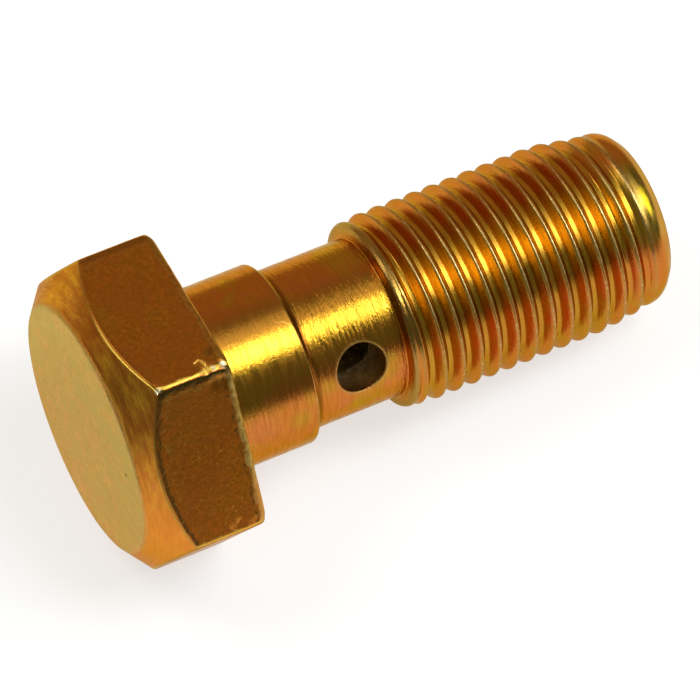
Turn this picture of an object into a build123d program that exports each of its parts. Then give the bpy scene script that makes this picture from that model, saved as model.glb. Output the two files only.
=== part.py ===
from build123d import *
from math import asin, atan2, cos, hypot, radians, sin, tan
import os

# Banjo bolt, M10 x 1, lying on one flat of its head and on the end of its thread.
# Lengths are in millimetres. Positions along the bolt are counted from the bearing face.

# Hex head
across_flats = 14.9
head_height = 5.6
top_diameter = 12.65
crown_angle = 38.5
bearing_edge_radius = 0.3

# Collar under the head, which centres the fitting
collar_diameter = 9.3
collar_length = 4.8

# Neck, thinner than the thread, so that fluid can pass around it
neck_diameter = 8.2
neck_length = 5.0
run_out_radius = 0.5

# Thread, drawn at its outside diameter
thread_diameter = 9.9
thread_pitch = 1.0
shank_length = 24.6
tip_diameter = 7.7
tip_angle = 45
tip_edge_radius = 0.6
tip_end_radius = 0.3

# Blind bore from the tip, and the hole drilled across the neck
bore_diameter = 4.2
bore_mouth_chamfer = 0.3
drill_point_angle = 118
cross_hole_diameter = 2.6
cross_hole_position = 7.45
cross_hole_rise = 25
bore_beyond_cross_hole = 1.9

# Derived sizes
hex_radius = across_flats / 2
corner_radius = hex_radius / cos(radians(30))
top_radius = top_diameter / 2
crown_radius = 1.1 * corner_radius
crown_drop = (crown_radius - top_radius) * tan(radians(crown_angle))
collar_radius = collar_diameter / 2
neck_radius = neck_diameter / 2
collar_step = collar_radius - neck_radius
collar_end_radius = 0.65 * collar_step
neck_fillet = 0.25 * collar_step
neck_end = collar_length + neck_length
thread_radius = thread_diameter / 2
thread_start = neck_end + 0.6 * thread_pitch
tip_radius = tip_diameter / 2
tip_start = shank_length - (thread_radius - tip_radius) / tan(radians(tip_angle))
bore_radius = bore_diameter / 2
bore_bottom = cross_hole_position - bore_beyond_cross_hole
drill_point = bore_radius / tan(radians(drill_point_angle / 2))

# The bolt touches the ground with the rounded bearing edge of one flat and with the
# rounded end of the thread. It leans by the slope of the line that touches both
# roundings from below.
head_round_x = -bearing_edge_radius
head_round_depth = hex_radius - bearing_edge_radius
tip_round_x = tip_start - tip_edge_radius * tan(radians(tip_angle / 2))
tip_round_depth = thread_radius - tip_edge_radius
span = tip_round_x - head_round_x
drop = head_round_depth - tip_round_depth
lean = atan2(drop, span) + asin((bearing_edge_radius - tip_edge_radius) / hypot(span, drop))

# The axis runs from the head to the tip and dips by the lean. The origin is on the
# ground, under the middle of the bolt's length in plan.
rest_height = head_round_depth * cos(lean) + head_round_x * sin(lean) + bearing_edge_radius
rear_reach = head_height * cos(lean) + top_radius * sin(lean)
front_reach = shank_length * cos(lean) + tip_radius * sin(lean)
bearing_centre = Vector((rear_reach - front_reach) / 2, 0, rest_height)
axis_direction = Vector(cos(lean), 0, -sin(lean))
flat_direction = Vector(sin(lean), 0, cos(lean))
bolt_axis = Axis(bearing_centre, axis_direction)

# The half section lies upright along the axis: its x is the position along the bolt
# and its y is the radius. The head is drawn on the bearing face, seen from the thread.
section_plane = Plane(bearing_centre, x_dir=axis_direction, z_dir=(0, -1, 0))
bearing_plane = Plane(bearing_centre, x_dir=(0, 1, 0), z_dir=axis_direction)
rise = radians(cross_hole_rise)
cross_direction = flat_direction * sin(rise) - Vector(0, cos(rise), 0)
cross_centre = bearing_centre + axis_direction * cross_hole_position
cross_plane = Plane(cross_centre, x_dir=axis_direction, z_dir=cross_direction)

with BuildPart() as banjo_bolt:
    # Hex prism with one flat down
    with BuildSketch(bearing_plane):
        RegularPolygon(hex_radius, 6, major_radius=False)
    extrude(amount=-head_height)

    # Conical crown, which leaves a round flat on top
    with BuildSketch(section_plane):
        with BuildLine():
            Polyline(
                (0, 0),
                (-head_height, 0),
                (-head_height, top_radius),
                (-head_height + crown_drop, crown_radius),
                (0, crown_radius),
                close=True,
            )
        make_face()
    revolve(axis=bolt_axis, mode=Mode.INTERSECT)

    # Rounded edges where the flats meet the bearing face
    bearing_face = banjo_bolt.faces().sort_by(bolt_axis)[-1]
    fillet(bearing_face.edges(), radius=bearing_edge_radius)

    # Collar, neck, thread and tip
    with BuildSketch(section_plane) as shank:
        with BuildLine():
            Polyline(
                (-head_height / 2, 0),
                (-head_height / 2, collar_radius),
                (collar_length, collar_radius),
                (collar_length, neck_radius),
                (neck_end, neck_radius),
                (thread_start, thread_radius),
                (tip_start, thread_radius),
                (shank_length, tip_radius),
                (shank_length, 0),
                close=True,
            )
        make_face()
        fillet(shank.vertices().group_by(Axis.X)[5].sort_by(Axis.Y)[-1], radius=tip_end_radius)
        fillet(shank.vertices().group_by(Axis.X)[4], radius=tip_edge_radius)
        fillet(shank.vertices().group_by(Axis.X)[2], radius=run_out_radius)
        fillet(shank.vertices().group_by(Axis.X)[1].sort_by(Axis.Y)[0], radius=neck_fillet)
        fillet(shank.vertices().group_by(Axis.X)[1].sort_by(Axis.Y)[-1], radius=collar_end_radius)
    revolve(axis=bolt_axis)

    # Blind bore with a drill point, open at the tip
    with BuildSketch(section_plane):
        with BuildLine():
            Polyline(
                (bore_bottom - drill_point, 0),
                (bore_bottom, bore_radius),
                (shank_length - bore_mouth_chamfer, bore_radius),
                (shank_length, bore_radius + bore_mouth_chamfer),
                (shank_length, 0),
                close=True,
            )
        make_face()
    revolve(axis=bolt_axis, mode=Mode.SUBTRACT)

    # Hole drilled right across the neck and the bore
    with BuildSketch(cross_plane):
        Circle(cross_hole_diameter / 2)
    extrude(amount=collar_radius, both=True, mode=Mode.SUBTRACT)

banjo_bolt.part.label = "banjo_bolt"
os.makedirs("parts", exist_ok=True)
export_step(banjo_bolt.part, "parts/banjo_bolt.step")
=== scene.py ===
import math
import bmesh
import bpy
import numpy as np
from mathutils import Matrix, Vector, noise


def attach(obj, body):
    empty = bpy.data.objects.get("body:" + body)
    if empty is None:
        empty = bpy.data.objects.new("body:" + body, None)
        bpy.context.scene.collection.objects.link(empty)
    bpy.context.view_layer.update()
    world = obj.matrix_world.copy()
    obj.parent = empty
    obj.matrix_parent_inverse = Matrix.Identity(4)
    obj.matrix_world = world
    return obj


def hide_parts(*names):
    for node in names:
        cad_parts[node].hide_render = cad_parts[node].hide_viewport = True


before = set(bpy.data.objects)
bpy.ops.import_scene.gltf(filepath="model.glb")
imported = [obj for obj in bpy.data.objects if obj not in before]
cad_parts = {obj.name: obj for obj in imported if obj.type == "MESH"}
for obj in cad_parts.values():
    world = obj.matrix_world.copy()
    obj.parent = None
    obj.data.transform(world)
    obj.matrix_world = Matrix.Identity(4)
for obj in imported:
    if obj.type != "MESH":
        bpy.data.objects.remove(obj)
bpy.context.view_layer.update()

# Sizes in millimetres, the same as the solid's. Places along the bolt count from the bearing face.
HEX_R = 14.9 / 2
HEAD_H = 5.6
TOP_R = 12.65 / 2
CROWN = math.radians(38.5)
BEARING_EDGE = 0.3
COLLAR_R = 9.3 / 2
COLLAR_L = 4.8
NECK_R = 8.2 / 2
THREAD_R = 9.9 / 2
PITCH = 1.0
SHANK_L = 24.6
TIP_R = 7.7 / 2
TIP_ANGLE = math.radians(45)
TIP_EDGE = 0.6
BORE_R = 4.2 / 2
BORE_MOUTH = 0.3
DRILL_POINT = math.radians(118)
HOLE_R = 2.6 / 2
HOLE_X = 7.45
HOLE_RISE = math.radians(25.0)
BORE_BOTTOM = HOLE_X - 1.9
MM = 0.001


def rest_place():
    """How far the axis dips and where the bearing face's middle is, as the bolt lies on the ground.

    The rounded edge of the head's lowest flat and the rounded end of the thread both touch the
    ground, whose origin is under the middle of the bolt's length.
    """
    head_x = -BEARING_EDGE
    head_depth = HEX_R - BEARING_EDGE
    tip_start = SHANK_L - (THREAD_R - TIP_R) / math.tan(TIP_ANGLE)
    tip_x = tip_start - TIP_EDGE * math.tan(TIP_ANGLE / 2)
    tip_depth = THREAD_R - TIP_EDGE
    span, drop = tip_x - head_x, head_depth - tip_depth
    lean = math.atan2(drop, span) + math.asin((BEARING_EDGE - TIP_EDGE) / math.hypot(span, drop))
    height = head_depth * math.cos(lean) + head_x * math.sin(lean) + BEARING_EDGE
    rear = HEAD_H * math.cos(lean) + TOP_R * math.sin(lean)
    front = SHANK_L * math.cos(lean) + TIP_R * math.sin(lean)
    return lean, np.array([(rear - front) / 2, 0.0, height])


LEAN, ORIGIN = rest_place()
AXIS = np.array([math.cos(LEAN), 0.0, -math.sin(LEAN)])
UP = np.array([math.sin(LEAN), 0.0, math.cos(LEAN)])
SIDE = np.array([0.0, -1.0, 0.0])

# The thread's crest line passes CREST_0 at the angle VIEW_A, which faces the camera
CREST_0 = 11.36
VIEW_A = math.radians(32.232)
# Where the neck's piece ends and the thread's begins
SPLIT_X = 9.3
# Where the thread's rows of points start to follow its helix, and for how many turns
HELIX_X = 10.2
TURNS = 13
# Points once round the neck and the thread, and round the holes
COLUMNS = 193
HOLE_COLUMNS = 72


def to_frame(x, r, a):
    """Points at x along the bolt, radius r and angle a (0 is up, 90 degrees the near side), in metres."""
    x, r, a = np.broadcast_arrays(x, r, a)
    along = x[..., None] * AXIS
    across = (r * np.cos(a))[..., None] * UP + (r * np.sin(a))[..., None] * SIDE
    return (ORIGIN + along + across) * MM


def from_frame(p):
    """The bolt's own coordinates of points in metres: along the axis, up and to the near side, in mm."""
    q = np.asarray(p) / MM - ORIGIN
    return np.stack([q @ AXIS, q @ UP, q @ SIDE], -1)


def make_object(name, verts, faces):
    mesh = bpy.data.meshes.new(name)
    mesh.from_pydata([tuple(v) for v in verts], [], faces)
    mesh.update()
    obj = bpy.data.objects.new(name, mesh)
    bpy.context.scene.collection.objects.link(obj)
    return obj


def weld(verts, faces, tol=1e-6):
    """Joins points that coincide and drops the faces that vanish."""
    key = np.round(np.asarray(verts) / tol).astype(np.int64)
    _, first, index = np.unique(key, axis=0, return_index=True, return_inverse=True)
    index = index.reshape(-1)
    out = []
    for f in faces:
        g = []
        for v in f:
            w = int(index[v])
            if not g or g[-1] != w:
                g.append(w)
        if len(g) > 1 and g[0] == g[-1]:
            g.pop()
        if len(g) >= 3:
            out.append(g)
    return np.asarray(verts)[first], out


# How close the rows beside a rounded edge are to it, in mm
EDGE_ROW = 0.04


def rounded(points, radii, steps, segs):
    """A polyline with its inner corners rounded: steps points a corner, segs points a run."""
    pts = [np.array(p, float) for p in points]
    out = []
    start = pts[0]
    for i in range(1, len(pts)):
        a, b = pts[i - 1], pts[i]
        if i < len(pts) - 1:
            c = pts[i + 1]
            d1 = (b - a) / np.linalg.norm(b - a)
            d2 = (c - b) / np.linalg.norm(c - b)
            turn = math.acos(max(-1.0, min(1.0, float(d1 @ d2))))
            cut = radii[i - 1] * math.tan(turn / 2)
            e1, e2 = b - d1 * cut, b + d2 * cut
        else:
            e1 = b
        n = segs[i - 1]
        length = np.linalg.norm(e1 - start)
        s = np.linspace(0, 1, n + 1)
        if length > 4 * EDGE_ROW and n > 2:
            s[1], s[-2] = EDGE_ROW / length, 1 - EDGE_ROW / length
            s[1:-1] = np.linspace(s[1], s[-2], n - 1)
        out += [start + (e1 - start) * k for k in s[:-1]]
        if i < len(pts) - 1:
            for k in range(steps):
                t = k / steps
                w = 2 * math.cos(turn / 2)
                num = (1 - t) ** 2 * e1 + t * (1 - t) * w * b + t ** 2 * e2
                out.append(num / ((1 - t) ** 2 + t * (1 - t) * w + t ** 2))
            start = e2
    out.append(pts[-1])
    return np.array(out)


def grid_faces(rows, cols, flip=False, wrap=False):
    """The quads of a grid of points, whose last column joins the first where it wraps."""
    out = []
    n = cols if wrap else cols - 1
    for i in range(rows - 1):
        for j in range(n):
            a, b = i * cols + j, i * cols + (j + 1) % cols
            c, d = b + cols, a + cols
            out.append((a, d, c, b) if flip else (a, b, c, d))
    return out


# How far each seed moves the noise
SEED_SHIFT = (17.3, -5.1, 9.7)


def noise_at(x, y, z, seed):
    moved = [v + seed * shift for v, shift in zip((x, y, z), SEED_SHIFT)]
    return noise.noise(Vector(moved))


def smooth(x, lo, hi):
    t = np.clip((x - lo) / (hi - lo), 0, 1)
    return t * t * (3 - 2 * t)


def bell(d, width):
    return np.exp(-(d / width) ** 2)


# Head: one profile for each angle, from the middle of the top to the bearing face
def hex_radius(b, rc):
    """Distance to the hexagon in a direction b from a flat's normal, with its corners rounded by rc."""
    half = math.radians(30)
    g = half - np.abs(b)
    dc = (HEX_R - rc) / math.cos(half)
    touch = np.arctan2(rc * 0.5, dc + rc * math.cos(half))
    s = np.sqrt(np.maximum(rc * rc - (dc * np.sin(g)) ** 2, 0))
    return np.where(g < touch, dc * np.cos(g) + s, HEX_R / np.cos(b))


def crown_edge(b):
    return -HEAD_H + (HEX_R / np.cos(b) - TOP_R) * math.tan(CROWN)


# How worn each corner is, from the one that faces the camera on round the head
CORNER_WEAR = (1.0, 0.5, 0.35, 0.6, 0.4, 0.45)
# Each flat's worn crown edge: how bright (partly painted highlight); its sides: how burred (partly painted
# shade)
GOLD_EDGE = (1.0, 0.15, 0.5, 0.3, 0.6, 0.35)
BURR_EDGE = (0.12, 1.0, 0.4, 0.5, 0.3, 0.6)
# Dents in the corner that faces the camera: x, angle in degrees, size and depth in mm
DENTS = ((-3.88, 29.4, 0.24, 0.12), (-1.28, 29.3, 0.24, 0.10), (-0.92, 29.2, 0.13, 0.06),
         (-0.38, 29.0, 0.20, 0.09), (-1.05, 33.4, 0.20, 0.09), (-0.55, 33.8, 0.24, 0.07))


# Roundings in mm of the top face's edge, the crown's edge, the bearing face's edge and a corner,
# before wear adds to them
TOP_ROUND = 0.24
CROWN_ROUND = 0.15
BEARING_ROUND = 0.34
CORNER_ROUND = 0.14


def head_columns():
    """Each flat's number with the angles from its middle, closer together towards its corners."""
    from_corner = [0.0, 0.2, 0.4, 0.6, 0.8, 1.0, 1.25, 1.6, 2.1, 2.8, 3.8, 5.2, 7.0]
    half = [-30 + g for g in from_corner]
    half += list(np.linspace(-21.0, 21.0, 27))
    half += [30 - g for g in reversed(from_corner[1:])]
    return [(flat, b) for flat in range(6) for b in half]


def worn_corner(x, r, span, radius, rho, turn, b):
    """The radius near a corner, whose rounding grows towards both of its ends."""
    crown_end = max(0.0, 1 - span / 0.16) ** 2
    bearing_end = max(0.0, 1 - (1 - span) / 0.26) ** 2
    uneven = 0.8 + 0.6 * noise_at(math.cos(turn) * 4, math.sin(turn) * 4, x, 3)
    more = (0.2 * crown_end + 0.7 * bearing_end) * uneven
    return r - max(0.0, rho - float(hex_radius(math.radians(b), radius + more)))


def dented(x, r, deg):
    """The radius with the dents taken out of it."""
    for at_x, at_deg, size, depth in DENTS:
        away = ((x - at_x) ** 2 + (r * math.radians(deg - at_deg)) ** 2) / size ** 2
        if away < 6 and r > HEX_R * 0.9:
            r -= depth * math.exp(-away)
    return r


def head_section(flat, b):
    """The head's half section b degrees from the middle of a flat, as points of x, radius and angle."""
    deg = flat * 60.0 + b
    turn = math.radians(deg)
    broad = noise_at(math.cos(turn) * 3.1, math.sin(turn) * 3.1, 0.3, 1)
    fine = noise_at(math.cos(turn) * 12.0, math.sin(turn) * 12.0, 0.7, 2)
    by_corner = max(0.0, 1 - (30 - abs(b)) / 6.0) ** 3
    shine = GOLD_EDGE[flat] * min(1.0, max(0.0, (b + 14) / 26))
    edges = (TOP_ROUND + 0.05 * broad,
             CROWN_ROUND + 0.05 * fine + 0.08 * by_corner + 0.10 * shine,
             BEARING_ROUND + 0.07 * broad + 0.05 * fine + 0.14 * by_corner)
    radius = CORNER_ROUND + 0.20 * CORNER_WEAR[int(deg // 60) % 6]
    rho = float(hex_radius(math.radians(b), radius))
    crown_x = -HEAD_H + (rho - TOP_R) * math.tan(CROWN)
    points = [(0.02, -HEAD_H), (TOP_R, -HEAD_H), (rho, crown_x), (rho, 0.0), (COLLAR_R - 0.4, 0.0)]
    section = []
    for r, x in rounded(points, edges, 6, (14, 12, 34, 6)).tolist():
        if x > crown_x and 30 - abs(b) < 4.0 and r > HEX_R * 0.96:
            r = worn_corner(x, r, 1 - x / crown_x, radius, rho, turn, b)
        section.append((x, dented(x, r, deg), turn))
    return section


def build_head():
    columns = [head_section(flat, b) for flat, b in head_columns()]
    n, rows = len(columns), len(columns[0])
    x, r, a = np.array(columns).transpose(2, 1, 0).reshape(3, -1)
    faces = grid_faces(rows, n, flip=True, wrap=True)
    p = np.vstack([to_frame(x, r, a), to_frame(-HEAD_H, 0.0, 0.0)[None], to_frame(-0.05, 0.0, 0.0)[None]])
    top, low = len(p) - 2, len(p) - 1
    last = (rows - 1) * n
    for j in range(n):
        after = (j + 1) % n
        faces.append((top, j, after)[::-1])
        faces.append((low, last + after, last + j)[::-1])
    p, faces = weld(p, faces)
    return make_object("bolt_head", p, faces)


# Thread: the blank that was turned first, and the groove that was rolled into it
TAPER_X = 20.8
TAPER_LENGTH = 1.2
TAPER_OFFSET = 0.05
TIP_X = 23.8
BLANK = rounded([(SPLIT_X, NECK_R), (9.85, NECK_R), (9.93, 4.72), (10.1, 4.82), (10.42, 4.84),
                 (11.2, THREAD_R), (TAPER_X, THREAD_R), (22.6, 4.67), (23.5, 4.50), (24.05, 4.49),
                 (SHANK_L, TIP_R), (SHANK_L, 0.5)],
                (0.06, 0.10, 0.2, 0.3, 2.0, 3.0, 2.0, 0.8, 0.9, 0.16), 6,
                (8, 3, 3, 4, 4, 4, 4, 4, 4, 6, 6))
# Where the thread starts beside the neck and ends beside the tip
THREAD_START = (10.0, 10.75)
THREAD_END = (23.1, 23.65)
# Radius to which the taper's shallower thread is still cut
ROOT_R = 4.2
# The groove in pitches: half the crest's width, the depth, and how soft the crest and root are
CREST_HALF = 0.06
GROOVE_DEPTH = 0.54
CREST_SOFT = 0.04
ROOT_SOFT = 0.022


def groove(t):
    """Depth of the thread below its crest, t pitches from the crest: 60 degree flanks and a broad root."""
    u = np.abs(t) - CREST_HALF
    flank = math.sqrt(3.0) * 0.5 * (u + np.sqrt(u * u + CREST_SOFT ** 2))
    root = np.sqrt((flank - GROOVE_DEPTH) ** 2 + ROOT_SOFT ** 2)
    return (flank + GROOVE_DEPTH - root) / 2 * PITCH


def crest_phase(x, a):
    t = (x - CREST_0) / PITCH - (a - VIEW_A) / (2 * math.pi)
    return t - np.round(t)


def blank_radius(x, a):
    """The blank's radius, whose tapered end is turned slightly off centre."""
    keep = BLANK[:, 0] <= SHANK_L - 1e-6
    r = np.interp(x, BLANK[keep, 0], BLANK[keep, 1])
    ramp = np.clip((x - TAPER_X) / TAPER_LENGTH, 0, 1) * np.clip(SHANK_L - x, 0, 1)
    return r + TAPER_OFFSET * ramp * np.sin(a - VIEW_A)


def fullness(x, env):
    """How much of its depth the thread has: it runs out at the neck and shallows along the taper."""
    room = np.clip((env - ROOT_R) / (THREAD_R - ROOT_R), 0, 1)
    depth = np.where(x > TAPER_X, room, 1.0)
    return smooth(x, *THREAD_START) * depth * (1 - smooth(x, *THREAD_END))


def thread_radius(x, a):
    env = blank_radius(x, a)
    return env - groove(crest_phase(x, a)) * fullness(x, env)


def close_ends(p, faces, cols, x0, x1):
    """Caps the first and the last ring of a row grid whose last column repeats the first."""
    last = len(p) - cols
    p = np.vstack([p, to_frame(x0, 0.0, 0.0)[None], to_frame(x1, 0.0, 0.0)[None]])
    for j in range(cols - 1):
        faces.append((j, j + 1, len(p) - 2))
        faces.append((last + j, len(p) - 1, last + j + 1))
    return p, faces


def turn_fractions():
    """Fractions of a turn for the points of a row, whose last point lies on the first."""
    return np.arange(COLUMNS) / (COLUMNS - 1)


def turn_angles():
    """Angles of a row's points, from the side away from the camera and round to it again."""
    return VIEW_A + math.pi + turn_fractions() * 2 * math.pi


def build_neck():
    inside_head = -0.4
    prof = rounded([(inside_head, COLLAR_R), (COLLAR_L, COLLAR_R), (COLLAR_L, NECK_R), (SPLIT_X, NECK_R)],
                   (0.14, 0.36), 8, (44, 3, 46))
    ang = turn_angles()
    p = np.concatenate([to_frame(x, r, ang) for x, r in prof])
    faces = grid_faces(len(prof), COLUMNS, flip=True)
    p, faces = close_ends(p, faces, COLUMNS, inside_head, SPLIT_X)
    p, faces = weld(p, faces)
    return make_object("bolt_neck", p, faces)


def thread_phases():
    """Parts of a pitch at which rows lie, closer over the crest and the root than down the flanks."""
    from_crest = (HELIX_X - CREST_0) / PITCH - 0.5
    half = [0.0, 0.03, 0.055, 0.08, 0.11, 0.16, 0.22, 0.28, 0.325, 0.355, 0.39, 0.425, 0.46]
    phases = sorted((t - from_crest) % 1.0 for t in half + [-t for t in half[1:]] + [0.5])
    return [s for s in phases if s > 0.004] + [1.0]


def thread_row(x, ang):
    x = np.broadcast_to(x, ang.shape)
    return to_frame(x, thread_radius(x, ang), ang)


def helix_rows(ang):
    """Rows that follow the helix, with a first and a last turn that start and end square."""
    frac = turn_fractions()
    phases = thread_phases()
    end = HELIX_X + PITCH * (TURNS - 1)
    rows = [thread_row(HELIX_X + PITCH * frac * s, ang) for s in phases]
    for turn in range(TURNS - 1):
        rows += [thread_row(HELIX_X + PITCH * (frac + turn + s), ang) for s in phases]
    return rows + [thread_row(end + PITCH * (frac + (1 - frac) * s), ang) for s in phases]


def build_thread():
    ang = turn_angles()
    rows = []
    # the run-out's wall and bead, ring by ring
    for x, r in BLANK:
        if x < HELIX_X - 0.02:
            full = thread_radius(np.full(COLUMNS, x), ang)
            rows.append(to_frame(x, np.minimum(r, full), ang))
    rows += helix_rows(ang)
    # the tip, ring by ring
    step = 0.05
    rows += [thread_row(x, ang) for x in np.arange(HELIX_X + PITCH * TURNS + step, TIP_X, step)]
    for x, r in BLANK:
        if x > TIP_X:
            on_end = x > SHANK_L - 1e-6
            rows.append(to_frame(x, r, ang) if on_end else thread_row(x, ang))
    faces = grid_faces(len(rows), COLUMNS, flip=True)
    p, faces = close_ends(np.concatenate(rows), faces, COLUMNS, SPLIT_X, SHANK_L)
    p, faces = weld(p, faces)
    return make_object("bolt_thread", p, faces)


def face_outwards(obj):
    """Turns all faces of a closed mesh outwards."""
    bm = bmesh.new()
    bm.from_mesh(obj.data)
    bmesh.ops.recalc_face_normals(bm, faces=bm.faces)
    bm.to_mesh(obj.data)
    bm.free()


def drill(obj, tool):
    """Takes the tool's shape out of the object."""
    face_outwards(obj)
    face_outwards(tool)
    mod = obj.modifiers.new("drill", "BOOLEAN")
    mod.operation = "DIFFERENCE"
    mod.solver = "EXACT"
    mod.object = tool
    bpy.context.view_layer.update()
    deps = bpy.context.evaluated_depsgraph_get()
    mesh = bpy.data.meshes.new_from_object(obj.evaluated_get(deps))
    obj.modifiers.clear()
    old = obj.data
    obj.data = mesh
    bpy.data.meshes.remove(old)


def tool_solid(name, rings):
    """A closed solid through rings of points, to drill with."""
    faces = grid_faces(len(rings), HOLE_COLUMNS, wrap=True)
    last = (len(rings) - 1) * HOLE_COLUMNS
    faces.append(tuple(range(HOLE_COLUMNS))[::-1])
    faces.append(tuple(last + j for j in range(HOLE_COLUMNS)))
    return make_object(name, np.concatenate(rings), faces)


def bore_tool():
    """The bore with its drill point, and a cone for the mouth's chamfer."""
    a = np.arange(HOLE_COLUMNS) * 2 * math.pi / HOLE_COLUMNS
    point = BORE_R / math.tan(DRILL_POINT / 2)
    past = 0.2
    mouth_r = BORE_R + BORE_MOUTH + past
    prof = [(BORE_BOTTOM - point, 0.001), (BORE_BOTTOM, BORE_R)]
    prof += [(x, BORE_R) for x in (8.0, 12.0, 16.0, 20.0)]
    prof += [(SHANK_L - BORE_MOUTH, BORE_R), (SHANK_L + past, mouth_r), (SHANK_L + 1, mouth_r)]
    return tool_solid("bore_tool", [to_frame(x, r, a) for x, r in prof])


def hole_tool():
    """The cross hole's drill, whose ends flare over the neck's surface for the rounded lips."""
    a = np.arange(HOLE_COLUMNS) * 2 * math.pi / HOLE_COLUMNS
    out = np.array([0.0, math.sin(HOLE_RISE), math.cos(HOLE_RISE)])
    across = np.array([0.0, -math.cos(HOLE_RISE), math.sin(HOLE_RISE)])
    seat = np.sqrt(NECK_R ** 2 - (HOLE_R * np.sin(a)) ** 2)
    lip = 0.09
    ends = []
    for t in np.linspace(0, math.pi / 2, 7):
        ends.append((seat - lip + lip * math.sin(t), HOLE_R + lip * (1 - math.cos(t))))
    ends.append((seat + 1.0, HOLE_R + lip + 0.05))
    rings = []
    for h, r in [(-h, r) for h, r in reversed(ends)] + ends:
        q = np.array([HOLE_X, 0, 0]) + h[:, None] * out + (r * np.cos(a))[:, None] * np.array([1.0, 0, 0])
        q = q + (r * np.sin(a))[:, None] * across
        rings.append((ORIGIN + q[:, :1] * AXIS + q[:, 1:2] * UP + q[:, 2:3] * SIDE) * MM)
    return tool_solid("hole_tool", rings)


# Values along the surface that the material reads
def finish_mesh(obj, angle):
    """Smooths the shading and stores each point's place, and returns it, its radius and its angle."""
    me = obj.data
    me.polygons.foreach_set("use_smooth", np.ones(len(me.polygons), bool))
    me.set_sharp_from_angle(angle=math.radians(angle))
    co = np.empty(len(me.vertices) * 3)
    me.vertices.foreach_get("co", co)
    q = from_frame(co.reshape(-1, 3))
    att = me.attributes.new("bolt", "FLOAT_VECTOR", "POINT")
    att.data.foreach_set("vector", q.astype(np.float32).ravel())
    return q, np.hypot(q[:, 1], q[:, 2]), np.arctan2(q[:, 2], q[:, 1])


def add_values(mesh, **values):
    for name, v in values.items():
        att = mesh.attributes.new(name, "FLOAT", "POINT")
        att.data.foreach_set("value", np.broadcast_to(v, len(mesh.vertices)).astype(np.float32))


def dress_head(obj):
    """Stores where each point of the head is: on which face, and how far from each worn edge."""
    q, r, a = finish_mesh(obj, 50)
    deg = np.degrees(a) % 360
    k = np.round(deg / 60).astype(int) % 6
    b = (deg + 30) % 60 - 30
    x = q[:, 0]
    crown = x - crown_edge(np.radians(b))
    add_values(obj.data,
               hex=1.0,
               face=smooth(-x, HEAD_H - 0.14, HEAD_H - 0.01),
               cone=smooth(-crown, 0.0, 0.12) * smooth(r, TOP_R - 0.2, TOP_R),
               flat=smooth(r * np.cos(np.radians(b)), HEX_R - 0.12, HEX_R - 0.02),
               crown=crown,
               next_gap=r * np.sin(np.radians(30 - b)),
               last_gap=r * np.sin(np.radians(30 + b)),
               gold=np.array(GOLD_EDGE)[k] * smooth(b, -14, 12),
               burr=np.array(BURR_EDGE)[k],
               next_wear=np.array(CORNER_WEAR)[k],
               last_wear=np.array(CORNER_WEAR)[k - 1],
               worn=0.0, bead=0.0, root=0.0, hollow=0.0, nook=0.0, lip=0.0)


def dress_shank(obj):
    """Stores where each point of the shank is: on a crest, in a root, in a hole or beside an edge."""
    q, r, a = finish_mesh(obj, 32)
    x = q[:, 0]
    on_thread = x > 9.9
    below = blank_radius(np.maximum(x, SPLIT_X), a) - r
    ends = smooth(x, 10.5, 10.8) * smooth(-x, -23.6, -23.2)
    crest = np.where(on_thread, bell(below, 0.055) * ends, 0)
    bead = np.where(on_thread, bell(np.minimum(below, 0.5), 0.05) * smooth(-x, -10.55, -10.4), 0)
    rim = bell(x - COLLAR_L + 0.06, 0.07) * (r > NECK_R + 0.3)
    across = q[:, 2] * math.sin(HOLE_RISE) - q[:, 1] * math.cos(HOLE_RISE)
    from_hole = np.hypot(x - HOLE_X, across) - HOLE_R
    add_values(obj.data,
               hex=0.0, face=0.0, cone=0.0, flat=0.0, crown=3.0, gold=0.0, burr=0.0,
               next_gap=3.0, last_gap=3.0, next_wear=0.0, last_wear=0.0,
               worn=np.clip(0.8 * crest + 0.6 * rim, 0, 1), bead=bead,
               root=np.where(on_thread, smooth(below, 0.3, 0.52), 0),
               hollow=smooth(-r, -NECK_R + 0.06, -NECK_R + 0.35) * (x < SHANK_L - 0.05),
               # painted shade in the fillet under the collar's step
               nook=smooth(-x, -COLLAR_L - 0.5, -COLLAR_L - 0.3) * smooth(x, COLLAR_L - 0.1, COLLAR_L)
               * smooth(-r, -COLLAR_R + 0.04, -COLLAR_R + 0.16),
               lip=bell(from_hole - 0.05, 0.07) * (x < SPLIT_X))
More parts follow.
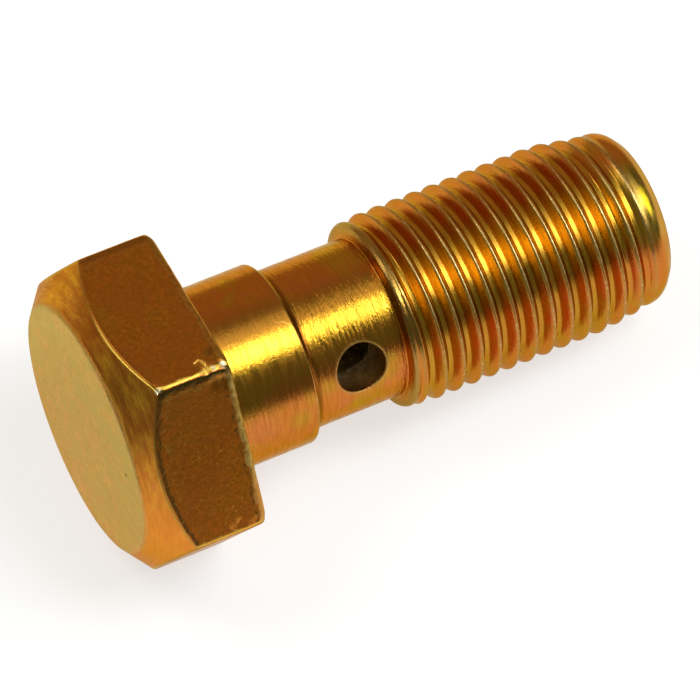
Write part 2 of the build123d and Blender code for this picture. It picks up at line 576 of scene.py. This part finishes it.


# Material: yellow zinc plate, with its colour patches, tool marks and worn edges, and painted highlights
# and shade
class Nodes:
    """Short calls that add and join shader nodes."""

    def __init__(self, tree):
        self.tree = tree
        tree.nodes.clear()

    def add(self, kind, **props):
        node = self.tree.nodes.new(kind)
        for k, v in props.items():
            setattr(node, k, v)
        return node

    def put(self, socket, value):
        if isinstance(value, bpy.types.NodeSocket):
            self.tree.links.new(value, socket)
        elif isinstance(value, tuple):
            socket.default_value = (*value, 1.0) if len(value) == 3 and socket.type == "RGBA" else value
        else:
            socket.default_value = value

    def math(self, op, a, b=0.0, clamp=False):
        node = self.add("ShaderNodeMath", operation=op, use_clamp=clamp)
        self.put(node.inputs[0], a)
        self.put(node.inputs[1], b)
        return node.outputs[0]

    def most(self, *values):
        out = values[0]
        for v in values[1:]:
            out = self.math("MAXIMUM", out, v)
        return out

    def step(self, value, lo, hi, out_lo=0.0, out_hi=1.0):
        """Rises smoothly from out_lo to out_hi as the value goes from lo to hi, or falls if hi is less."""
        node = self.add("ShaderNodeMapRange", interpolation_type="SMOOTHSTEP")
        for i, v in enumerate((value, lo, hi, out_lo, out_hi)):
            self.put(node.inputs[i], v)
        return node.outputs[0]

    def mix(self, fac, a, b, blend="MIX"):
        node = self.add("ShaderNodeMix", data_type="RGBA", blend_type=blend)
        self.put(node.inputs[0], fac)
        self.put(node.inputs[6], a)
        self.put(node.inputs[7], b)
        return node.outputs[2]

    def multiply(self, a, b):
        return self.mix(1.0, a, b, "MULTIPLY")

    def lerp(self, fac, a, b):
        node = self.add("ShaderNodeMix", data_type="FLOAT")
        self.put(node.inputs[0], fac)
        self.put(node.inputs[2], a)
        self.put(node.inputs[3], b)
        return node.outputs[0]

    def vector(self, x, y, z):
        node = self.add("ShaderNodeCombineXYZ")
        for i, v in enumerate((x, y, z)):
            self.put(node.inputs[i], v)
        return node.outputs[0]

    def noise(self, vec, scale, detail=2.0, rough=0.5, dist=0.0):
        node = self.add("ShaderNodeTexNoise")
        self.put(node.inputs["Vector"], vec)
        self.put(node.inputs["Scale"], scale)
        self.put(node.inputs["Detail"], detail)
        self.put(node.inputs["Roughness"], rough)
        self.put(node.inputs["Distortion"], dist)
        return node.outputs["Fac"]

    def attribute(self, name):
        return self.add("ShaderNodeAttribute", attribute_name=name).outputs["Fac"]

    def band(self, value, centre, half, soft):
        """1 within half of the centre, falling to 0 over the soft margin."""
        away = self.math("ABSOLUTE", self.math("SUBTRACT", value, centre))
        return self.step(away, half + soft, half - soft)

    def spot(self, vec, centre, radius, soft):
        node = self.add("ShaderNodeVectorMath", operation="DISTANCE")
        self.put(node.inputs[0], vec)
        self.put(node.inputs[1], centre)
        return self.step(node.outputs["Value"], radius + soft, radius - soft)

    def stroke(self, vec, start, end, radius, soft):
        """1 along a straight line from start to end."""
        along = Vector(end) - Vector(start)
        away = self.add("ShaderNodeVectorMath", operation="SUBTRACT")
        self.put(away.inputs[0], vec)
        self.put(away.inputs[1], tuple(start))
        dot = self.add("ShaderNodeVectorMath", operation="DOT_PRODUCT")
        self.put(dot.inputs[0], away.outputs[0])
        self.put(dot.inputs[1], tuple(along / along.length_squared))
        foot = self.add("ShaderNodeVectorMath", operation="SCALE")
        self.put(foot.inputs[0], tuple(along))
        self.put(foot.inputs["Scale"], self.math("ADD", dot.outputs["Value"], 0.0, clamp=True))
        return self.spot(away.outputs[0], foot.outputs[0], radius, soft)

    def times(self, *values):
        out = values[0]
        for v in values[1:]:
            out = self.math("MULTIPLY", out, v)
        return out

    def bump(self, height, distance, normal):
        node = self.add("ShaderNodeBump")
        self.put(node.inputs["Strength"], 1.0)
        self.put(node.inputs["Distance"], distance)
        self.put(node.inputs["Height"], height)
        if normal is not None:
            self.put(node.inputs["Normal"], normal)
        return node.outputs[0]


# The plating's film: its main colours
WHITE = (1.0, 1.0, 1.0)
ORANGE = (0.585, 0.183, 0.031)
# painted highlight tint: yellower along the top, where the key lamp's highlight falls
YELLOW = (0.56, 0.25, 0.030)
YELLOW_GREEN = (0.50, 0.245, 0.025)
PINK = (0.61, 0.178, 0.052)
# painted highlight tint at the peak of the key lamp's highlight
LEMON = (0.56, 0.38, 0.022)
# painted highlight tint on the thread along the top, where the highlight falls
THREAD_HIGHLIGHT_TINT = (0.62, 0.35, 0.033)
STREAK_DIM = (0.62, 0.58, 0.45)
# The cone, from its upper parts to its lower ones
CONE_ORANGE = (0.72, 0.25, 0.036)
CONE_LIGHT = (0.78, 0.37, 0.034)
CONE_DEEP = (0.48, 0.14, 0.020)
CONE_LOW = (0.84, 0.29, 0.052)
CONE_RED = (0.44, 0.115, 0.014)
CONE_LEMON = (0.86, 0.44, 0.036)
# The top face
KHAKI = (0.565, 0.362, 0.114)
KHAKI_ORANGE = (0.70, 0.35, 0.118)
KHAKI_PALE = (0.71, 0.49, 0.17)
KHAKI_GREEN = (0.55, 0.40, 0.12)
TAN = (0.64, 0.34, 0.105)
# The tip: painted shade on its shoulder, the painted highlight in it, and its chamfer
SHOULDER = (0.27, 0.18, 0.035)
SHOULDER_HIGHLIGHT = (0.56, 0.40, 0.012)
CHAMFER = (0.56, 0.28, 0.085)
# Factors that a colour is multiplied by: on the face, with painted light lighter and pinker low down, and
# on the flats
FACE_SPECKS = ((0.94, 0.94, 0.92), (1.05, 1.05, 1.06))
FACE_LOW_LIGHT = (1.15, 1.03, 1.05)
FLAT_GRAIN = ((1.16, 1.10, 0.80), (0.78, 0.80, 0.58))
FLAT_BLOTCH = (0.84, 0.92, 0.66)
FLAT_MOTTLE = (0.86, 0.98, 0.80)
FLAT_LOW = (0.97, 0.87, 0.80)
# Worn and bare places with painted highlights and shade among them, and the insides of the holes
# bright gold on worn edges and marks, partly a painted highlight; also the flats' light specks
GOLD = (1.0, 0.66, 0.11)
OLIVE = (0.40, 0.27, 0.065)
SILVER = (1.0, 0.93, 0.68)
NICK = (1.0, 0.36, 0.05)
# dark burrs and nicks, partly painted shade and dark reflection beside the edges
BURR_AND_SHADE = (0.12, 0.08, 0.024)
STRIP = ((0.28, 0.175, 0.042), (0.52, 0.34, 0.09))
STRIP_LOW = (0.70, 0.30, 0.075)
CREST = (0.37, 0.235, 0.07)
CREST_SPARK = (0.76, 0.60, 0.30)
# painted highlight on the crests along the top
CREST_HIGHLIGHT = (1.0, 0.80, 0.42)
BEAD = (0.36, 0.215, 0.055)
# painted shade in the fillet under the collar's step
NOOK_SHADE = (0.24, 0.075, 0.010)
RIM = (0.52, 0.37, 0.14)
INSIDE = ((0.27, 0.21, 0.10), (0.48, 0.40, 0.22))
# painted shade in the pit in the top face
PIT_SHADE = (0.14, 0.06, 0.012)
# The metal's tint where it is seen at a low angle
GRAZING = (0.78, 0.68, 0.42)


def on_bolt(x, r, deg):
    """A place on the bolt in the material's coordinates: along the axis, up and to the near side."""
    a = math.radians(deg)
    return (x, r * math.cos(a), r * math.sin(a))


# Places with a tint of their own, and how far they reach in mm
GREEN_PLACES = ((on_bolt(5.6, NECK_R, 68), 0.7),
                (on_bolt(9.0, NECK_R, 64), 0.5),
                (on_bolt(7.3, NECK_R, 96), 1.0),
                (on_bolt(3.8, COLLAR_R, 79), 0.8),
                (on_bolt(0.6, COLLAR_R, 100), 0.9))
PINK_PLACES = ((on_bolt(1.7, COLLAR_R, 76), 1.3),
               (on_bolt(9.5, NECK_R, 82), 0.6),
               (on_bolt(6.4, NECK_R, 88), 0.7))
TAN_PLACES = ((on_bolt(-HEAD_H, 2.6, 62), 0.8),
              (on_bolt(-HEAD_H, 1.6, 20), 0.6))
# Redder, darker places on the cone, and a yellow one by its worn corner
CONE_RED_PLACES = ((on_bolt(-5.0, 7.09, -4.6), 1.0), (on_bolt(-4.93, 7.2, 40.2), 0.6))
CONE_LEMON_PLACES = ((on_bolt(-4.54, 7.71, 30.0), 0.6), (on_bolt(-5.08, 7.02, 9.9), 0.5))
# Bright metal on the corner that faces the camera; the gold dot is partly a painted highlight
SILVER_DOTS = ((on_bolt(-3.76, 8.38, 29.6), 0.12),
               (on_bolt(-0.88, 8.43, 29.3), 0.10),
               (on_bolt(-0.38, 8.40, 29.1), 0.12))
GOLD_DOTS = ((on_bolt(-1.28, 8.43, 29.2), 0.15),)
# A branched nick on the upper flat, as places along the bolt and across the flat
NICK_LINE = ((-1.58, 3.62), (-1.30, 3.52), (-1.16, 3.76), (-1.18, 4.15))
# Orange nicks on the corner below it, a dark bruise beside the branched nick, a pit in the
# face and a scratch on the collar
ORANGE_NICKS = ((on_bolt(-1.80, 8.40, 87.4), 0.22),
                (on_bolt(-1.45, 8.32, 86.2), 0.17),
                (on_bolt(-0.85, 8.43, 88.4), 0.20),
                (on_bolt(-0.62, 8.40, 87.2), 0.12))
BRUISE = (-0.62, HEX_R, 3.25)
PIT = on_bolt(-HEAD_H, 5.0, 65.3)
SCRATCH = (on_bolt(4.05, COLLAR_R, 14.2), on_bolt(4.55, COLLAR_R, 18.4))
# The angle round the shank that is lightest
TOP_A = VIEW_A - 0.07
# What dress_head and dress_shank store for each point
VALUES = ("hex", "face", "cone", "flat", "crown", "gold", "burr", "next_gap", "last_gap",
          "next_wear", "last_wear", "worn", "bead", "root", "hollow", "nook", "lip")


def surface_values(n):
    """What the material knows about a point: its place on the bolt and the values stored on the mesh."""
    s = {"vec": n.add("ShaderNodeAttribute", attribute_name="bolt").outputs["Vector"]}
    sep = n.add("ShaderNodeSeparateXYZ")
    n.put(sep.inputs[0], s["vec"])
    s["x"], s["y"], s["z"] = sep.outputs
    s["rad"] = n.math("SQRT", n.math("ADD", n.times(s["y"], s["y"]), n.times(s["z"], s["z"])))
    for name in VALUES:
        s[name] = n.attribute(name)
    s["shank"] = n.math("SUBTRACT", 1.0, s["hex"])
    s["smooth"] = n.times(s["shank"], n.step(s["x"], 10.6, 9.8))
    s["neck"] = n.times(s["smooth"], n.step(s["x"], 4.75, 4.95))
    s["thread"] = n.times(s["shank"], n.step(s["x"], 10.4, 10.7))
    top = n.math("ADD", n.times(s["y"], math.cos(TOP_A)), n.times(s["z"], math.sin(TOP_A)))
    s["near_top"] = n.math("DIVIDE", top, s["rad"])
    # the top band, where the key lamp's highlight falls, gets the painted highlight tints
    s["top"] = n.step(s["near_top"], 0.86, 0.97)
    # where the thread's crests get a painted highlight
    s["bright_top"] = n.times(n.step(s["near_top"], 0.88, 0.97), s["thread"])
    return s


def add_textures(n, s):
    """Noise of several sizes, and the marks of the turning tool, which run round the bolt."""
    ring = n.math("ADD", s["x"], n.times(s["rad"], n.math("SUBTRACT", 1.0, s["face"])))
    around = n.vector(n.times(ring, 6.0), n.times(s["y"], 0.85), n.times(s["z"], 0.85))
    broad = n.vector(n.times(ring, 1.5), n.times(s["y"], 0.9), n.times(s["z"], 0.9))
    s["marks"] = n.noise(around, 1.0, 3.0, 0.6)
    s["streak"] = n.step(s["marks"], 0.36, 0.64)
    s["smear"] = n.step(n.noise(broad, 1.0, 3.0, 0.62), 0.34, 0.66)
    s["grain"] = n.noise(s["vec"], 8.0, 3.0, 0.6)
    s["fine"] = n.noise(s["vec"], 5.0, 3.0, 0.65)
    s["blotch"] = n.noise(s["vec"], 0.42, 3.0, 0.55, 0.5)
    s["patch"] = n.noise(s["vec"], 1.3, 3.0, 0.6, 0.3)
    s["mottle"] = n.noise(s["vec"], 2.6, 4.0, 0.7)
    s["ragged"] = n.math("SUBTRACT", n.noise(s["vec"], 1.7, 2.0, 0.65), 0.5)
    s["nicks"] = n.math("SUBTRACT", n.noise(s["vec"], 3.0, 2.0, 0.6), 0.5)


def edge_wear_and_painted_light(n, s):
    """Worn and burred head edges: gold, partly painted highlight; dark burrs, partly painted shade; olive;
    a worn strip.
    """
    # nothing is painted over the bearing face, where x is 0
    on_side = n.times(n.step(s["crown"], -0.02, 0.06), n.step(s["x"], -0.01, -0.08))
    # the bands wander, and some of them are nicked as well
    wander = n.times(s["ragged"], 0.34)
    nicked = n.math("ADD", wander, n.times(s["nicks"], 0.24))
    side = n.math("ADD", s["crown"], nicked)
    end = n.math("ADD", s["x"], nicked)
    before = n.math("ADD", s["next_gap"], wander)
    after = n.math("ADD", s["last_gap"], nicked)
    bits = n.step(s["mottle"], 0.42, 0.58)
    lumps = n.step(s["mottle"], 0.53, 0.62)
    s["seam"] = n.times(n.band(s["crown"], 0.0, 0.02, 0.06), s["hex"])
    # gold: the worn crown edge and the worn corner's edge, partly a painted highlight
    s["gold_edge"] = n.most(n.times(n.band(s["crown"], -0.03, 0.05, 0.035), s["gold"], s["hex"]),
                            n.times(n.band(before, 0.05, 0.12, 0.05), s["next_wear"], on_side))
    # burrs: partly painted shade, a dark band beside the worn corner's edge and along the crown edge
    s["burr_edge"] = n.most(n.times(n.band(after, 0.20, 0.15, 0.09), s["last_wear"], on_side, 0.9),
                            n.times(n.band(side, 0.15, 0.09, 0.09), s["burr"], on_side, 0.8),
                            n.times(n.band(end, -0.52, 0.06, 0.08), s["burr"], s["hex"], bits, 0.75))
    s["olive_edge"] = n.most(n.times(n.band(s["crown"], -0.04, 0.03, 0.03), s["hex"], 0.7),
                             n.times(n.band(side, 0.5, 0.16, 0.14), s["burr"], on_side, lumps, 0.4),
                             n.times(n.band(after, 0.48, 0.03, 0.08), s["last_wear"], on_side, 0.5))
    strip = n.times(n.band(end, -0.16, 0.23, 0.06), s["hex"], n.step(s["rad"], 7.1, 7.3))
    s["edge_strip"] = n.times(strip, n.math("ADD", 0.3, n.times(s["burr"], 0.6)))


def placed_marks(n, s):
    """Marks set in place one by one: nicks, dots of bare metal, a scratch and a bruise."""
    add = n.add("ShaderNodeVectorMath", operation="ADD")
    n.put(add.inputs[0], s["vec"])
    n.put(add.inputs[1], n.vector(n.times(s["nicks"], 0.35), 0.0, n.times(s["ragged"], 0.3)))
    bent = add.outputs[0]
    corners = [(x, HEX_R, z) for x, z in NICK_LINE]
    line = n.most(*[n.stroke(bent, p, q, 0.05, 0.12) for p, q in zip(corners, corners[1:])])
    s["nick_line"] = n.times(line, n.step(s["nicks"], -0.14, 0.02, 0.4, 0.9))
    scratch = n.times(n.stroke(bent, *SCRATCH, 0.02, 0.05), 0.5)
    dots = [n.spot(bent, centre, radius, 0.09) for centre, radius in GOLD_DOTS]
    # the gold marks share the edges' bright gold, partly a painted highlight
    s["gold_edge"] = n.most(s["gold_edge"], s["nick_line"], scratch, *dots)
    s["silver"] = n.most(*[n.spot(bent, centre, radius, 0.10) for centre, radius in SILVER_DOTS])
    nick = n.most(*[n.spot(bent, centre, radius * 0.7, 0.15) for centre, radius in ORANGE_NICKS])
    s["orange_nick"] = n.times(nick, n.step(s["nicks"], -0.20, -0.02), n.step(s["mottle"], 0.42, 0.54))
    bruise = n.times(n.spot(bent, BRUISE, 0.22, 0.22), 0.55)
    s["burr_edge"] = n.most(s["burr_edge"], bruise)


def tint(n, s, col, places, colour, *amount):
    """Mixes a colour in round each of the places."""
    for centre, reach in places:
        near = n.spot(s["vec"], centre, reach * 0.6, reach * 0.5)
        col = n.mix(n.times(near, *amount), col, colour)
    return col


def base_film(n, s):
    """Orange, with green and pink places."""
    green = n.times(n.step(s["blotch"], 0.46, 0.66), n.lerp(s["flat"], 0.75, 0.3))
    pink = n.times(n.step(s["patch"], 0.56, 0.70), n.lerp(s["flat"], 0.9, 0.5))
    col = n.mix(green, ORANGE, YELLOW_GREEN)
    col = n.mix(pink, col, PINK)
    col = tint(n, s, col, GREEN_PLACES, YELLOW_GREEN, 0.8)
    return tint(n, s, col, PINK_PLACES, PINK, 0.7)


def shank_film(n, s, col):
    """Yellower along the top of the shank and on the cone beside the worn corner, a painted highlight tint
    with a lemon peak; and streaked.
    """
    col = n.mix(n.times(s["top"], n.most(s["shank"], s["cone"]), 0.9), col, YELLOW)
    col = n.mix(n.times(n.step(s["near_top"], 0.975, 0.996), s["smooth"], 0.45), col, LEMON)
    col = n.multiply(col, n.mix(n.times(s["streak"], s["smooth"], 0.3), WHITE, STREAK_DIM))
    col = n.mix(n.times(s["top"], s["thread"], 0.8), col, THREAD_HIGHLIGHT_TINT)
    return n.mix(n.times(s["root"], 0.7), col, YELLOW_GREEN)


def cone_film(n, s, col):
    """Smeared light and deep orange above, plain orange below, with red and lemon places."""
    upper = n.times(s["cone"], n.step(s["y"], 2.0, 6.0, 0.35, 1.0))
    col = n.mix(n.times(s["cone"], 0.35), col, CONE_ORANGE)
    col = n.mix(n.times(upper, s["smear"], 0.75), col, CONE_LIGHT)
    col = n.mix(n.times(upper, n.math("SUBTRACT", 1.0, s["smear"]), 0.7), col, CONE_DEEP)
    col = n.mix(n.times(s["cone"], n.step(s["y"], 3.0, -1.0), 0.5), col, CONE_LOW)
    col = tint(n, s, col, CONE_RED_PLACES, CONE_RED, s["cone"], 0.65)
    return tint(n, s, col, CONE_LEMON_PLACES, CONE_LEMON, s["cone"], 0.6)


def tip_film(n, s, col):
    """The tip's shoulder is painted dull olive along the top, a painted shade round the lamp's highlight,
    with a lemon painted highlight in it, and its chamfer is light orange.
    """
    tip = n.times(s["shank"], n.step(s["x"], 23.4, 23.6))
    shoulder = n.times(tip, n.step(s["x"], 24.1, 23.95))
    spot = n.times(n.step(s["near_top"], 0.980, 0.996), n.step(s["x"], 23.62, 23.76))
    # painted shade along the top of the shoulder, round the lamp's highlight
    col = n.mix(n.times(shoulder, s["top"], 0.75), col, SHOULDER)
    # painted highlight tint in the middle of the shoulder
    col = n.mix(n.times(shoulder, spot, 0.9), col, SHOULDER_HIGHLIGHT)
    return n.mix(n.times(tip, n.step(s["x"], 23.9, 24.25), 0.7), col, CHAMFER)


def face_film(n, s, col):
    """The round top face is khaki, with orange, pale and greenish places and fine specks, and painted
    light that makes it lighter and pinker low down.
    """
    khaki = n.mix(n.times(n.step(s["patch"], 0.42, 0.64), 0.9), KHAKI, KHAKI_ORANGE)
    khaki = n.mix(n.times(n.step(s["mottle"], 0.42, 0.70), 0.6), khaki, KHAKI_PALE)
    khaki = n.multiply(khaki, n.mix(n.step(s["fine"], 0.36, 0.64), *FACE_SPECKS))
    khaki = n.mix(n.times(n.step(s["blotch"], 0.54, 0.38), 0.7), khaki, KHAKI_GREEN)
    # painted light: lighter and pinker towards the bottom of the face
    khaki = n.multiply(khaki, n.mix(n.step(s["y"], 3.0, -6.0), WHITE, FACE_LOW_LIGHT))
    for centre, reach in TAN_PLACES:
        near = n.spot(s["vec"], centre, reach * 0.3, reach * 0.9)
        khaki = n.mix(n.times(near, 0.6), khaki, TAN)
    return n.mix(s["face"], col, khaki)


def flat_film(n, s, col):
    """The flats are mottled and have fine light specks."""
    dull = n.mix(n.step(s["fine"], 0.68, 0.32), *FLAT_GRAIN)
    dull = n.mix(n.times(n.step(s["blotch"], 0.56, 0.36), 0.5), dull, FLAT_BLOTCH)
    dull = n.mix(n.times(n.step(s["mottle"], 0.46, 0.62), 0.5), dull, FLAT_MOTTLE)
    dull = n.multiply(dull, n.mix(n.step(s["y"], 7.3, 4.0), WHITE, FLAT_LOW))
    col = n.mix(s["flat"], col, n.multiply(col, dull))
    speck = n.step(n.noise(s["vec"], 5.5, 2.0, 0.7), 0.64, 0.74)
    return n.mix(n.times(speck, s["flat"], 0.45), col, GOLD)


def thread_crest(n, s):
    """Worn crests sparkle a little, and along the top they get a painted highlight."""
    sparkle = n.step(n.noise(s["vec"], 7.0, 2.0, 0.7), 0.54, 0.64)
    crest = n.mix(n.times(sparkle, 0.6), CREST, CREST_SPARK)
    return n.mix(n.times(s["bright_top"], n.lerp(sparkle, 0.35, 0.9)), crest, CREST_HIGHLIGHT)


def worn_strip(n, s):
    """The worn strip along the bearing face's edge turns orange low down."""
    strip = n.mix(n.step(s["nicks"], -0.14, 0.14), *STRIP)
    return n.mix(n.times(n.step(s["y"], 3.2, 1.0), 0.7), strip, STRIP_LOW)


def zinc_colour(n, s):
    """The film with the worn, burred and bare places over it, and the painted highlights and shade."""
    col = base_film(n, s)
    for part in (shank_film, cone_film, tip_film, face_film, flat_film):
        col = part(n, s, col)
    scratch = n.step(s["grain"], 0.36, 0.58)
    # painted shade in the fillet under the collar's step
    col = n.mix(n.times(s["nook"], 0.9), col, NOOK_SHADE)
    col = n.mix(s["edge_strip"], col, worn_strip(n, s))
    # the crests, with a painted highlight along the top
    col = n.mix(n.times(s["worn"], n.lerp(scratch, 0.6, 1.0)), col, thread_crest(n, s))
    col = n.mix(n.times(s["bead"], 0.85), col, BEAD)
    col = n.mix(s["olive_edge"], col, OLIVE)
    # dark burrs, partly painted shade
    col = n.mix(s["burr_edge"], col, BURR_AND_SHADE)
    # bright gold, partly a painted highlight
    col = n.mix(s["gold_edge"], col, GOLD)
    col = n.mix(s["orange_nick"], col, NICK)
    col = n.mix(s["silver"], col, SILVER)
    # painted shade in the pit
    col = n.mix(n.spot(s["vec"], PIT, 0.10, 0.05), col, PIT_SHADE)
    col = n.mix(n.times(s["lip"], n.lerp(scratch, 0.3, 1.0), 0.6), col, RIM)
    return n.mix(s["hollow"], col, n.mix(n.step(s["mottle"], 0.42, 0.62), *INSIDE))


def zinc_gloss(n, s):
    """Roughness: the film's own, with more on some parts, and that of each worn place over it."""
    rough = n.math("ADD", 0.15, n.times(s["streak"], n.lerp(s["flat"], 0.12, 0.0)))
    for part, more in (("thread", 0.07), ("cone", 0.16), ("flat", 0.12), ("bead", 0.03)):
        rough = n.math("ADD", rough, n.times(s[part], more))
    rough = n.lerp(n.times(s["worn"], s["thread"]), rough, 0.36)
    rough = n.lerp(n.most(s["olive_edge"], s["edge_strip"]), rough, 0.42)
    rough = n.lerp(n.most(s["gold_edge"], s["orange_nick"]), rough, 0.48)
    for part, value in (("silver", 0.38), ("lip", 0.45), ("hollow", 0.75)):
        rough = n.lerp(s[part], rough, value)
    return rough


# Heights of the relief in mm
MARKS_RELIEF = 0.046
GRAIN_RELIEF = 0.006
SEAM_RELIEF = -0.03
NICKS_RELIEF = 0.03
LINE_RELIEF = -0.04
PIT_RELIEF = -0.06


def zinc_relief(n, s):
    """Turning marks, fine grain, the rough edges' nicks, the branched nick and the pit."""
    depth = n.lerp(s["neck"], 0.30, 1.0)
    depth = n.lerp(s["cone"], depth, 0.35)
    depth = n.times(depth, n.math("SUBTRACT", 1.0, s["flat"]))
    fine = n.lerp(s["worn"], n.lerp(s["smooth"], 0.45, 1.1), 1.2)
    normal = None
    for height, relief in ((n.times(s["marks"], depth), MARKS_RELIEF),
                           (n.times(s["grain"], fine), GRAIN_RELIEF),
                           (n.times(s["seam"], n.most(s["gold"], s["burr"])), SEAM_RELIEF),
                           (n.times(s["nicks"], n.most(s["edge_strip"], s["burr_edge"])), NICKS_RELIEF),
                           (s["nick_line"], LINE_RELIEF),
                           (n.spot(s["vec"], PIT, 0.06, 0.07), PIT_RELIEF)):
        normal = n.bump(height, relief * MM, normal)
    return normal


def zinc_material():
    mat = bpy.data.materials.new("yellow_zinc")
    mat.use_nodes = True
    n = Nodes(mat.node_tree)
    out = n.add("ShaderNodeOutputMaterial")
    bsdf = n.add("ShaderNodeBsdfPrincipled")
    n.put(out.inputs[0], bsdf.outputs[0])
    s = surface_values(n)
    add_textures(n, s)
    edge_wear_and_painted_light(n, s)
    placed_marks(n, s)
    n.put(bsdf.inputs["Base Color"], zinc_colour(n, s))
    n.put(bsdf.inputs["Roughness"], zinc_gloss(n, s))
    n.put(bsdf.inputs["Normal"], zinc_relief(n, s))
    bsdf.inputs["Metallic"].default_value = 1.0
    bsdf.inputs["Specular Tint"].default_value = (*GRAZING, 1.0)
    return mat


def build_bolt():
    head = build_head()
    neck = build_neck()
    thread = build_thread()
    bore, hole = bore_tool(), hole_tool()
    face_outwards(head)
    drill(neck, bore)
    drill(neck, hole)
    drill(thread, bore)
    for tool in (bore, hole):
        bpy.data.objects.remove(tool)
    dress_head(head)
    dress_shank(neck)
    dress_shank(thread)
    zinc = zinc_material()
    for obj in (head, neck, thread):
        obj.data.materials.append(zinc)
        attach(obj, "root")
        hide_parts("banjo_bolt")


# The room: a white sheet on a grey table, dim walls and three soft lamps
FLOOR_SIZE = 4.0
SHEET_CENTRE = (0.0, 40.0)
SHEET_EDGE = (100.0, 145.0)
TABLE = (0.30, 0.30, 0.30)
SHEET = (0.52, 0.54, 0.55)
# How bright the table and the sheet look to the camera, beside the light that falls on them
TABLE_GLOW = 0.12
SHEET_GLOW = 0.66
WALL_NEAR = (0.135, 0.15, 0.11)
WALL_FAR = (0.40, 0.30, 0.17)
# A soft glow on the wall round the key lamp: where, its colour and its inner and outer angles
GLOW = (0.375, -0.11, 0.92)
GLOW_COLOUR = (1.15, 1.15, 1.10)
GLOW_CORE = math.radians(4)
GLOW_RIM = math.radians(26)
# Lamps: direction, side in metres and brightness
LAMPS = {"key": ((0.375, -0.34, 0.862), 0.21, 7.0),
         "edge": ((-0.326, 0.291, 0.89), 0.24, 3.2),
         "tip": ((0.744, -0.321, 0.584), 0.26, 3.4)}
LAMP_DISTANCE = 0.6
# The camera, as it was fitted to the bolt's outline: lens and place in mm, and the directions of
# its picture
LENS = 285.877
SENSOR = 36.0
CAMERA_PLACE = (-57.45, -139.258, 232.402)
CAMERA_RIGHT = (0.88637, -0.45909, -0.05989)
CAMERA_DOWN = (-0.41384, -0.72763, -0.54708)
CAMERA_AHEAD = (0.20758, 0.5097, -0.83494)


def build_floor():
    bpy.ops.mesh.primitive_plane_add(size=FLOOR_SIZE, location=(0, 0, 0))
    floor = bpy.context.object
    floor.name = "floor"
    mat = bpy.data.materials.new("floor_white")
    mat.use_nodes = True
    n = Nodes(mat.node_tree)
    out = n.add("ShaderNodeOutputMaterial")
    pos = n.add("ShaderNodeSeparateXYZ")
    n.put(pos.inputs[0], n.add("ShaderNodeNewGeometry").outputs["Position"])
    dx = n.math("SUBTRACT", pos.outputs[0], SHEET_CENTRE[0] * MM)
    dy = n.math("SUBTRACT", pos.outputs[1], SHEET_CENTRE[1] * MM)
    dist = n.math("SQRT", n.math("ADD", n.times(dx, dx), n.times(dy, dy)))
    on_sheet = n.step(dist, SHEET_EDGE[0] * MM, SHEET_EDGE[1] * MM, 1.0, 0.0)
    diff = n.add("ShaderNodeBsdfDiffuse")
    n.put(diff.inputs[0], n.mix(on_sheet, TABLE, SHEET))
    path = n.add("ShaderNodeLightPath")
    seen = n.most(*[path.outputs[f"Is {kind} Ray"] for kind in ("Camera", "Glossy", "Transmission")])
    emit = n.add("ShaderNodeEmission")
    n.put(emit.inputs["Strength"], n.times(seen, n.lerp(on_sheet, TABLE_GLOW, SHEET_GLOW)))
    both = n.add("ShaderNodeAddShader")
    n.put(both.inputs[0], diff.outputs[0])
    n.put(both.inputs[1], emit.outputs[0])
    n.put(out.inputs[0], both.outputs[0])
    floor.data.materials.append(mat)


def build_world():
    """Dim walls, lighter and warmer towards the far side, with a soft glow round the key lamp."""
    world = bpy.data.worlds.new("room")
    bpy.context.scene.world = world
    world.use_nodes = True
    n = Nodes(world.node_tree)
    out = n.add("ShaderNodeOutputWorld")
    back = n.add("ShaderNodeBackground")
    sep = n.add("ShaderNodeSeparateXYZ")
    n.put(sep.inputs[0], n.add("ShaderNodeTexCoord").outputs["Generated"])
    walls = n.mix(n.step(sep.outputs[1], 0.05, 0.8), WALL_NEAR, WALL_FAR)
    toward = n.add("ShaderNodeVectorMath", operation="DOT_PRODUCT")
    n.put(toward.inputs[0], n.add("ShaderNodeTexCoord").outputs["Generated"])
    n.put(toward.inputs[1], tuple(Vector(GLOW).normalized()))
    glow = n.step(toward.outputs["Value"], math.cos(GLOW_RIM), math.cos(GLOW_CORE))
    n.put(back.inputs[0], n.mix(glow, walls, GLOW_COLOUR))
    n.put(out.inputs[0], back.outputs[0])


def area_light(name, direction, size, radiance):
    toward = Vector(direction).normalized()
    data = bpy.data.lights.new(name, "AREA")
    data.shape = "RECTANGLE"
    data.size = size
    data.size_y = size
    data.energy = radiance * math.pi * size * size
    lamp = bpy.data.objects.new(name, data)
    lamp.location = toward * LAMP_DISTANCE
    lamp.rotation_euler = toward.to_track_quat("Z", "Y").to_euler()
    bpy.context.scene.collection.objects.link(lamp)


def build_camera():
    data = bpy.data.cameras.new("camera")
    data.lens = LENS
    data.sensor_width = SENSOR
    data.sensor_fit = "HORIZONTAL"
    data.clip_start = 0.01
    cam = bpy.data.objects.new("camera", data)
    turn = Matrix((Vector(CAMERA_RIGHT), -Vector(CAMERA_DOWN), -Vector(CAMERA_AHEAD))).transposed()
    cam.matrix_world = Matrix.Translation(Vector(CAMERA_PLACE) * MM) @ turn.to_4x4()
    bpy.context.scene.collection.objects.link(cam)
    bpy.context.scene.camera = cam


build_bolt()
build_floor()
build_world()
for name, lamp in LAMPS.items():
    area_light(name, *lamp)
build_camera()
bpy.context.scene.view_settings.view_transform = "Standard"
